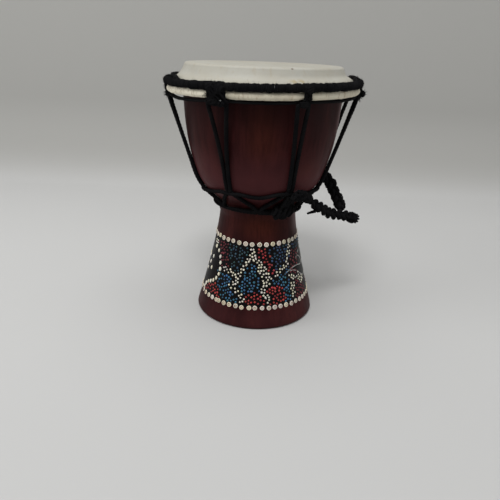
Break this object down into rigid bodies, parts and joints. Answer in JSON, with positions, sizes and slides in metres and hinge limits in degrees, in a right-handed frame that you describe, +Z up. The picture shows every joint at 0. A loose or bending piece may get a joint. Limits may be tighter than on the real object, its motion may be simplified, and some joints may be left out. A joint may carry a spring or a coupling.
{
  "type": "goblet drum",
  "caption": "Small goblet hand drum: turned wooden shell, skin head held by a wound crown ring and cord lacing, dot-painted foot, and a plaited carrying loop at the waist.",
  "frame": {"origin": "on the drum's axis, in the plane the foot stands on", "axes": "+Z up the drum's axis to the head; -Y towards the viewer of the picture; +X to the side where the carrying loop hangs"},
  "size_m": [0.1604, 0.1488, 0.2],
  "materials": {
    "stained_wood": "dark red-brown stain, semi-gloss, with a painted band of dots on the foot",
    "goatskin": "pale untreated skin, matt to satin",
    "steel_wire": "plain wire, hidden in the winding and the rolled skin",
    "crown_winding": "black wound yarn, fuzzy and matt",
    "black_cord": "black twisted and plaited cord, matt"
  },
  "bodies": {
    "drum": {"shell": "stained_wood", "drum_skin": "goatskin", "flesh_hoop": "steel_wire", "crown_ring": "steel_wire", "crown_ring_wrap": "crown_winding", "hitch_left": "black_cord", "hitch_front_left": "black_cord", "hitch_front_right": "black_cord", "hitch_right": "black_cord", "hitch_rear_right": "black_cord", "hitch_rear": "black_cord", "hitch_rear_left": "black_cord", "hoop_cord_left": "black_cord", "hoop_cord_front_left": "black_cord", "hoop_cord_front_right": "black_cord", "hoop_cord_right": "black_cord", "hoop_cord_rear_right": "black_cord", "hoop_cord_rear": "black_cord", "hoop_cord_rear_left": "black_cord", "lace_left_a": "black_cord", "lace_left_b": "black_cord", "lace_front_left_a": "black_cord", "lace_front_left_b": "black_cord", "lace_front_right_a": "black_cord", "lace_front_right_b": "black_cord", "lace_right_a": "black_cord", "lace_right_b": "black_cord", "lace_rear_right_a": "black_cord", "lace_rear_right_b": "black_cord", "lace_rear_a": "black_cord", "lace_rear_b": "black_cord", "lace_rear_left_a": "black_cord", "lace_rear_left_b": "black_cord", "pull_cord_long": "black_cord", "pull_cord_short": "black_cord", "waist_ring": "black_cord", "waist_knot": "black_cord", "pull_knot": "black_cord"},
    "carry_loop": {"collar_front": "black_cord", "collar_rear": "black_cord", "plait_front": "black_cord", "plait_rear": "black_cord", "tip_knot": "black_cord", "loose_end": "black_cord"}
  },
  "joints": [
    {"name": "loop_swing", "type": "hinge", "parent": "drum", "child": "carry_loop", "pos_m": [0.03825, -0.00167, 0.10698], "axis": [0.0436, 0.999, 0], "range_deg": [-35, 50]}
  ]
}
